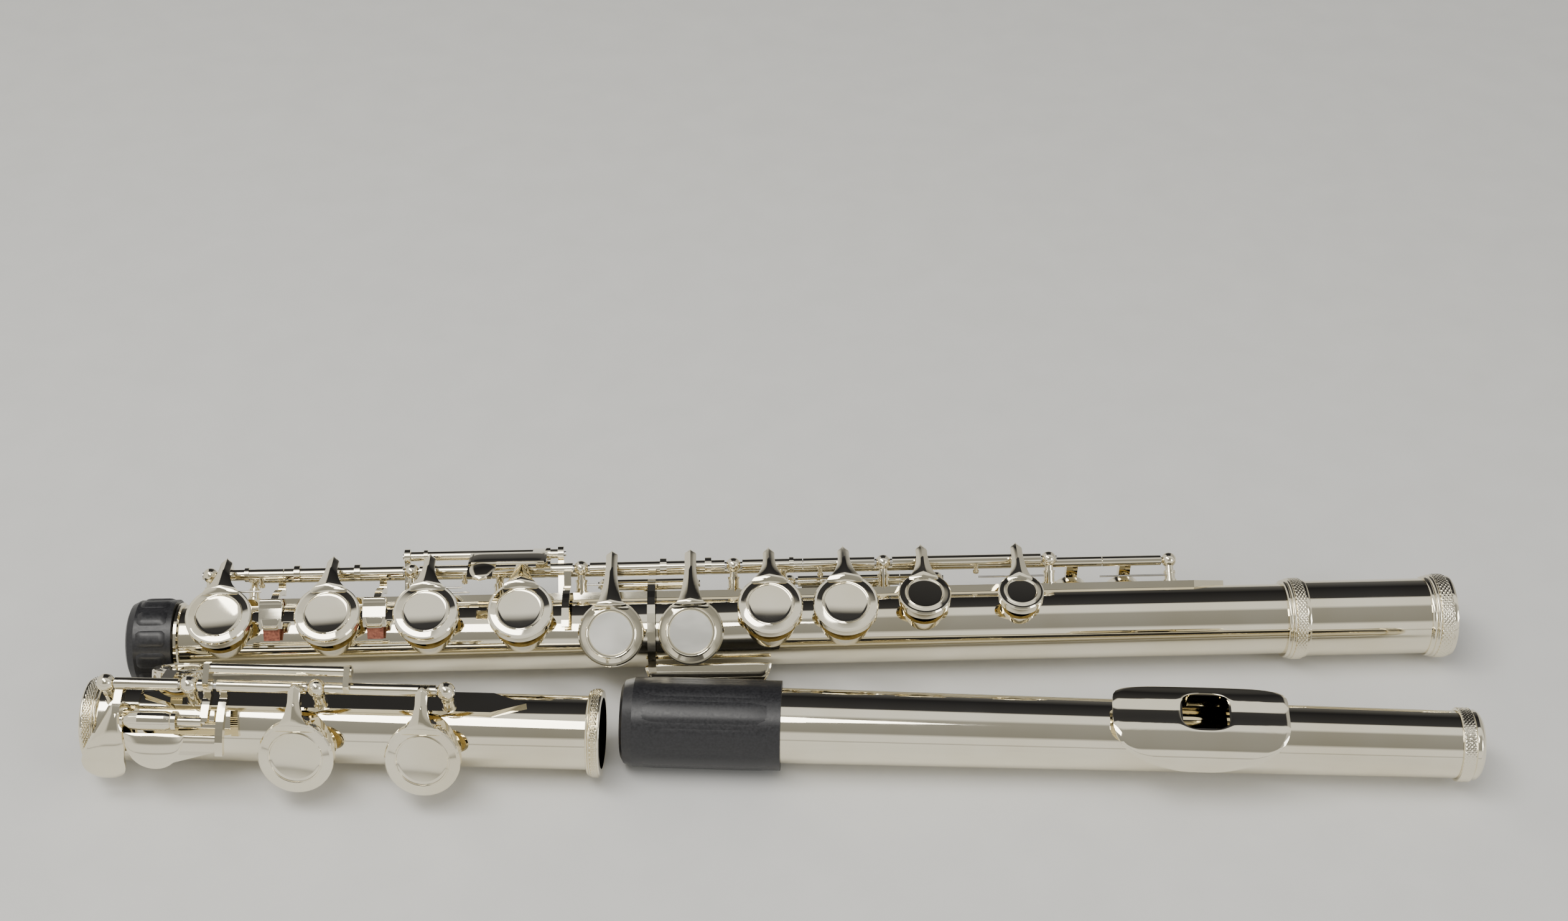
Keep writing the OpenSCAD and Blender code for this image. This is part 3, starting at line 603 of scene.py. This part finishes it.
def rounded(angle, half_x, half_y, power):
    """Point on a superellipse."""
    c, s = math.cos(angle), math.sin(angle)
    r = (abs(c / half_x) ** power + abs(s / half_y) ** power) ** (-1 / power)
    return r * c, r * s


def lip_plate():
    """Curved plate in rows from the embouchure hole out to its edge, with both edges rolled."""
    around, rows = 96, 22
    thick = 1.05
    top, low = [], []
    for k in range(rows + 1):
        t = k / rows
        ring_top, ring_low = [], []
        for i in range(around):
            a = 2 * math.pi * i / around
            hx, hy = rounded(a, 6.7, 5.5, 3.0)
            near = math.sin(a) < 0
            ox, oy = rounded(a, LIP_HALF_X, 11.8 if near else 9.7, 3.2 if near else 5.5)
            x = HOLE_X + hx + (LIP_X - HOLE_X + ox - hx) * t
            y = hy + (-1.5 + oy - hy) * t
            z = lip_height(y)
            roll = 0.16 * max(0, 1 - t * rows / 1.5) ** 2
            roll += 0.28 * max(0, (t * rows - rows + 1.2) / 1.2) ** 2
            ring_top.append((x, y, z - roll))
            ring_low.append((x, y, z - thick + roll * 0.5))
        top.append(ring_top)
        low.append(ring_low)
    vertices, faces = mesh_of(top + low[::-1], closed=True)
    plate = piece("lip_plate_shaped", vertices, faces, HEAD, "head", "silver_plate", 50)
    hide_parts("lip_plate")


lip_plate()


# ---------- crown ----------
def crown():
    """Domed crown with a knurled band, standing for the plain CAD crown."""
    teeth, width, r_out = 56, 3.4, 9.9
    outline = [(1.3, 0.0), (1.3, 9.0), (0, 9.0), (0, r_out - 0.35), (0.15, r_out - 0.1)]
    steps = 10
    outline += [(0.3 + (width - 0.6) * i / steps, r_out) for i in range(steps + 1)]
    outline += [
        (width - 0.15, r_out - 0.1), (width, r_out - 0.5), (3.8, r_out - 0.75), (4.6, r_out - 0.5),
        (5.4, r_out - 0.9), (6.1, 8.1), (6.5, 6.2), (6.75, 3.5), (6.9, 0.0)]

    def worked(x, r, a):
        if r < r_out - 0.05:
            return 0
        return -0.24 * knurl((x - 0.3) / (width - 0.6), a, teeth)

    vertices, faces = lathe(outline[1:-1], teeth * 6, worked)
    n, turns = len(outline) - 2, teeth * 6
    faces = [f for k, f in enumerate(faces) if (k + 1) % n]
    faces.append([k * n for k in range(turns)])
    faces.append([k * n + n - 1 for k in range(turns)][::-1])
    vertices = [(x + 178.5, y, z) for x, y, z in vertices]
    cap = piece("crown_knurled", vertices, faces, HEAD, "crown", "silver_plate", 45)
    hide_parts("crown")


crown()


# ---------- protector caps ----------
def cap_panels(name, matrix, body, x0, x1, radius, count, share, height):
    """Raised panels with rounded ends that stand round a cap."""
    vertices, faces = [], []
    for k in range(count):
        middle = 360 * (k + 0.5) / count
        half = 180 / count * share

        def point(u, v, middle=middle, half=half):
            inset = 1 - (abs(2 * u - 1)) ** 10 * 0.35
            return x0 + (x1 - x0) * u, middle + v * half * inset

        part_vertices, part_faces = shell(point, radius - 0.3, 0.3 + height, 0.04, 10, 7, 0.5)
        base = len(vertices)
        vertices += part_vertices
        faces += [tuple(i + base for i in f) for f in part_faces]
    piece(name, vertices, faces, matrix, body, "black_plastic", 45)


cap_panels("body_cap_panels", BODY, "body_cap", -178.6, -170.6, 11.8, 12, 0.74, 0.4)
cap_panels("head_cap_panels", HEAD, "head_cap", -38.5, -3.2, 12.0, 10, 0.9, 0.16)


# ---------- studio and camera ----------
CAMERA_BACK = 458.8
CAMERA_UP = 422.9
CAMERA_PITCH = 38.3
LENS = 50.66

# brightness of the studio from the front horizon (0) over the top (0.5) to the back horizon (1)
STUDIO_BANDS = [
    (0.0, (0.5, 0.49, 0.45)), (0.02, (0.95, 0.93, 0.88)), (0.12, (0.95, 0.93, 0.88)),
    (0.16, (0.3, 0.295, 0.27)), (0.4, (0.36, 0.355, 0.33)),
    (0.44, (1.0, 0.99, 0.95)), (0.565, (1.0, 0.99, 0.96)),
    (0.585, (0.05, 0.05, 0.055)), (0.82, (0.02, 0.02, 0.023)), (1.0, (0.14, 0.14, 0.145))]

# how far pale side walls cover the bands, from left (0) to right (1)
WALL_SHARES = [
    (0.0, grey(0.9)), (0.27, grey(0.85)), (0.32, grey(0.0)),
    (0.68, grey(0.0)), (0.74, grey(0.5)), (1.0, grey(0.5))]


def floor():
    """Plain pale floor just under the part."""
    floor_mesh = bpy.data.meshes.new("floor")
    reach = 3.0
    corners = [(-reach, -reach, 0), (reach, -reach, 0), (reach, reach, 0), (-reach, reach, 0)]
    floor_mesh.from_pydata(corners, [], [(0, 1, 2, 3)])
    sheet = bpy.data.objects.new("floor", floor_mesh)
    bpy.context.scene.collection.objects.link(sheet)
    sheet.location.z = cad_box[0][2] - 0.0002
    material, nodes, links, shader = principled("floor_paper")
    grain = noise(nodes, links, 60.0, 5.0)
    paper = ramp(nodes, links, grain, [(0.3, (0.70, 0.70, 0.685)), (0.7, (0.73, 0.73, 0.715))])
    links.new(paper, shader.inputs["Base Color"])
    shader.inputs["Roughness"].default_value = 0.75
    floor_mesh.materials.append(material)


def sky():
    """Banded studio that the bright metal mirrors, with pale walls at both sides."""
    world = bpy.data.worlds.new("studio")
    bpy.context.scene.world = world
    world.use_nodes = True
    nodes, links = world.node_tree.nodes, world.node_tree.links
    coords = nodes.new("ShaderNodeTexCoord")
    split = nodes.new("ShaderNodeSeparateXYZ")
    links.new(coords.outputs["Generated"], split.inputs["Vector"])
    back = nodes.new("ShaderNodeMath")
    back.operation = "MULTIPLY"
    back.inputs[1].default_value = -1.0
    links.new(split.outputs["Y"], back.inputs[0])
    angle = nodes.new("ShaderNodeMath")
    angle.operation = "ARCTAN2"
    links.new(split.outputs["Z"], angle.inputs[0])
    links.new(back.outputs[0], angle.inputs[1])
    share = nodes.new("ShaderNodeMath")
    share.operation = "DIVIDE"
    share.inputs[1].default_value = math.pi
    links.new(angle.outputs[0], share.inputs[0])
    bands = ramp(nodes, links, share.outputs[0], STUDIO_BANDS)
    walls = nodes.new("ShaderNodeMapRange")
    walls.inputs["From Min"].default_value = -1.0
    links.new(split.outputs["X"], walls.inputs["Value"])
    how_much = ramp(nodes, links, walls.outputs["Result"], WALL_SHARES)
    mixed = nodes.new("ShaderNodeMixRGB")
    links.new(how_much, mixed.inputs["Fac"])
    links.new(bands, mixed.inputs["Color1"])
    mixed.inputs["Color2"].default_value = (0.95, 0.93, 0.87, 1)
    links.new(mixed.outputs["Color"], nodes["Background"].inputs["Color"])
    nodes["Background"].inputs["Strength"].default_value = 1.0


def lamps():
    """Two soft lamps that face the middle of the part."""
    low, high = cad_box
    middle = Vector([(low[i] + high[i]) / 2 for i in range(3)])
    plan = [
        # name, place from the middle, width, height, watts, color
        ("key_light", (-0.3, -0.25, 0.9), 0.9, 0.3, 7.0, (1.0, 0.98, 0.94)),
        ("fill_light", (0.8, -0.6, 0.5), 0.4, 0.4, 2.5, (0.97, 0.98, 1.0)),
    ]
    for name, place, wide, tall, power, color in plan:
        data = bpy.data.lights.new(name, "AREA")
        data.shape = "RECTANGLE"
        data.size = wide
        data.size_y = tall
        data.energy = power
        data.color = color
        lamp = bpy.data.objects.new(name, data)
        bpy.context.scene.collection.objects.link(lamp)
        lamp.location = middle + Vector(place)
        lamp.rotation_euler = (middle - lamp.location).to_track_quat("-Z", "Y").to_euler()


def camera():
    """Camera in front of the row and above it, placed from the body joint's origin."""
    data = bpy.data.cameras.new("camera")
    data.sensor_width = 36.0
    data.lens = LENS
    eye = bpy.data.objects.new("camera", data)
    bpy.context.scene.collection.objects.link(eye)
    start = BODY.translation
    eye.location = (start.x, start.y - CAMERA_BACK * MM, start.z + CAMERA_UP * MM)
    eye.rotation_euler = (math.radians(90 - CAMERA_PITCH), 0, 0)
    bpy.context.scene.camera = eye
    bpy.context.scene.view_settings.view_transform = "AgX"


floor()
sky()
lamps()
camera()
